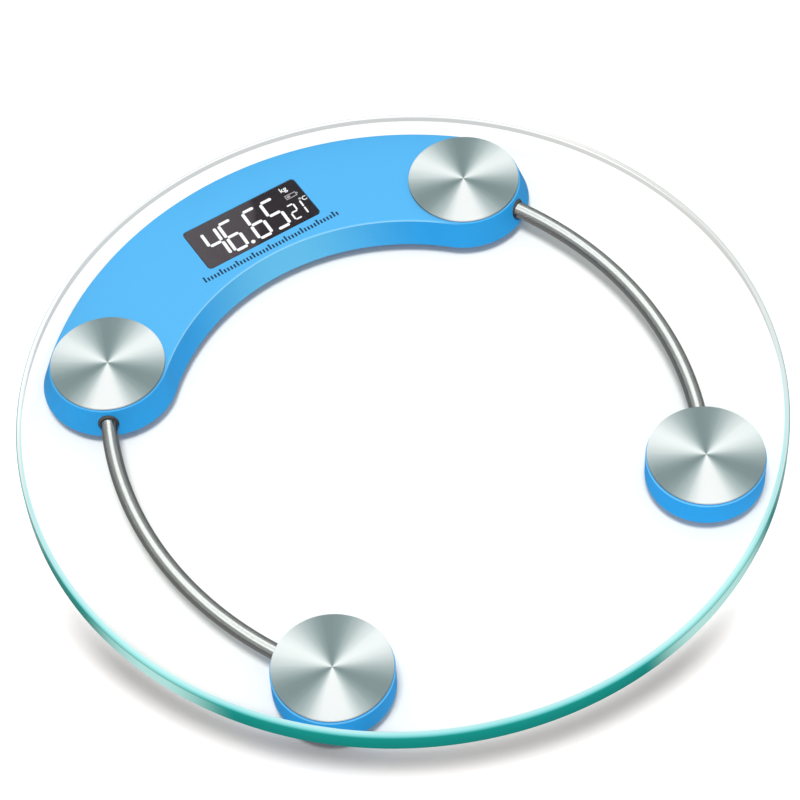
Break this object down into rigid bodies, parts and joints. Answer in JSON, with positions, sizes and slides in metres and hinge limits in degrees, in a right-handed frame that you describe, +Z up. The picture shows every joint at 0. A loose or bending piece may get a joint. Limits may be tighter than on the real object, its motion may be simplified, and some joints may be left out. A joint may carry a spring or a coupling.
{
  "type": "electronic personal weighing scale",
  "caption": "Electronic weighing scale: a round clear glass platform on a blue arc housing with a dark digital display and two round foot pods joined by bent steel tubes.",
  "frame": {"origin": "on the floor under the centre of the round glass", "axes": "+Z up through the glass, +Y towards the display, +X to the right of someone reading it"},
  "size_m": [0.33, 0.33, 0.0291],
  "materials": {
    "clear_glass": "polished, pale green at the edge",
    "blue_plastic": "satin moulded sky-blue ABS",
    "dark_blue_plastic": "moulded blue ABS, fine texture",
    "brushed_steel": "radially brushed",
    "polished_steel": "polished",
    "spring_steel": "plain sheet",
    "contact_brass": "plain strip",
    "black_rubber": "matt",
    "white_plastic": "moulded",
    "black_plastic": "moulded",
    "smoked_lens": "glossy smoked acrylic",
    "green_laminate": "glass-fibre laminate",
    "grey_wire": "PVC sheath"
  },
  "bodies": {
    "scale_frame": {"glass_platform": "clear_glass", "arc_housing": "blue_plastic", "arc_bottom_cover": "dark_blue_plastic", "display_lens": "smoked_lens", "lcd_panel": "smoked_lens", "lcd_backlight": "white_plastic", "lcd_holder": "black_plastic", "circuit_board": "green_laminate", "controller_chip": "black_plastic", "thermistor_bead": "black_plastic", "tactile_switch": "black_plastic", "coin_cell": "polished_steel", "battery_cup": "black_plastic", "battery_contact_negative": "contact_brass", "battery_contact_positive": "contact_brass", "load_cell_back_left": "spring_steel", "cell_carrier_back_left": "black_plastic", "steel_disc_back_left": "brushed_steel", "tube_grommet_back_left": "black_rubber", "cell_lead_back_left": "grey_wire", "load_cell_back_right": "spring_steel", "cell_carrier_back_right": "black_plastic", "steel_disc_back_right": "brushed_steel", "tube_grommet_back_right": "black_rubber", "cell_lead_back_right": "grey_wire", "load_cell_front_left": "spring_steel", "cell_carrier_front_left": "black_plastic", "steel_disc_front_left": "brushed_steel", "tube_grommet_front_left": "black_rubber", "cell_lead_front_left": "grey_wire", "load_cell_front_right": "spring_steel", "cell_carrier_front_right": "black_plastic", "steel_disc_front_right": "brushed_steel", "tube_grommet_front_right": "black_rubber", "cell_lead_front_right": "grey_wire", "lead_tube_left": "polished_steel", "pod_housing_front_left": "blue_plastic", "pod_bottom_ring_front_left": "dark_blue_plastic", "pod_screw_front_left_1": "spring_steel", "pod_screw_front_left_2": "spring_steel", "lead_tube_right": "polished_steel", "pod_housing_front_right": "blue_plastic", "pod_bottom_ring_front_right": "dark_blue_plastic", "pod_screw_front_right_1": "spring_steel", "pod_screw_front_right_2": "spring_steel", "arc_screw_1": "spring_steel", "arc_screw_2": "spring_steel", "arc_screw_3": "spring_steel", "arc_screw_4": "spring_steel"},
    "foot_back_left": {"foot_pad_back_left": "white_plastic", "rubber_sole_back_left": "black_rubber"},
    "foot_back_right": {"foot_pad_back_right": "white_plastic", "rubber_sole_back_right": "black_rubber"},
    "foot_front_left": {"foot_pad_front_left": "white_plastic", "rubber_sole_front_left": "black_rubber"},
    "foot_front_right": {"foot_pad_front_right": "white_plastic", "rubber_sole_front_right": "black_rubber"},
    "battery_cap": {"battery_cap": "white_plastic"},
    "unit_button": {"unit_button": "white_plastic"}
  },
  "joints": [
    {"name": "foot_press_back_left", "type": "slide", "parent": "scale_frame", "child": "foot_back_left", "axis": [0, 0, 1], "range_m": [0, 0.0006], "stiffness_N_per_m": 400000, "deforming": ["load_cell_back_left"]},
    {"name": "foot_press_back_right", "type": "slide", "parent": "scale_frame", "child": "foot_back_right", "axis": [0, 0, 1], "range_m": [0, 0.0006], "stiffness_N_per_m": 400000, "deforming": ["load_cell_back_right"]},
    {"name": "foot_press_front_left", "type": "slide", "parent": "scale_frame", "child": "foot_front_left", "axis": [0, 0, 1], "range_m": [0, 0.0006], "stiffness_N_per_m": 400000, "deforming": ["load_cell_front_left"]},
    {"name": "foot_press_front_right", "type": "slide", "parent": "scale_frame", "child": "foot_front_right", "axis": [0, 0, 1], "range_m": [0, 0.0006], "stiffness_N_per_m": 400000, "deforming": ["load_cell_front_right"]},
    {"name": "battery_cap_turn", "type": "hinge", "parent": "scale_frame", "child": "battery_cap", "pos_m": [0.04709, 0.12267, 0.0061], "axis": [0, 0, 1], "range_deg": [0, 45]},
    {"name": "unit_button_press", "type": "slide", "parent": "scale_frame", "child": "unit_button", "axis": [0, 0, 1], "range_m": [0, 0.0005], "stiffness_N_per_m": 800}
  ]
}
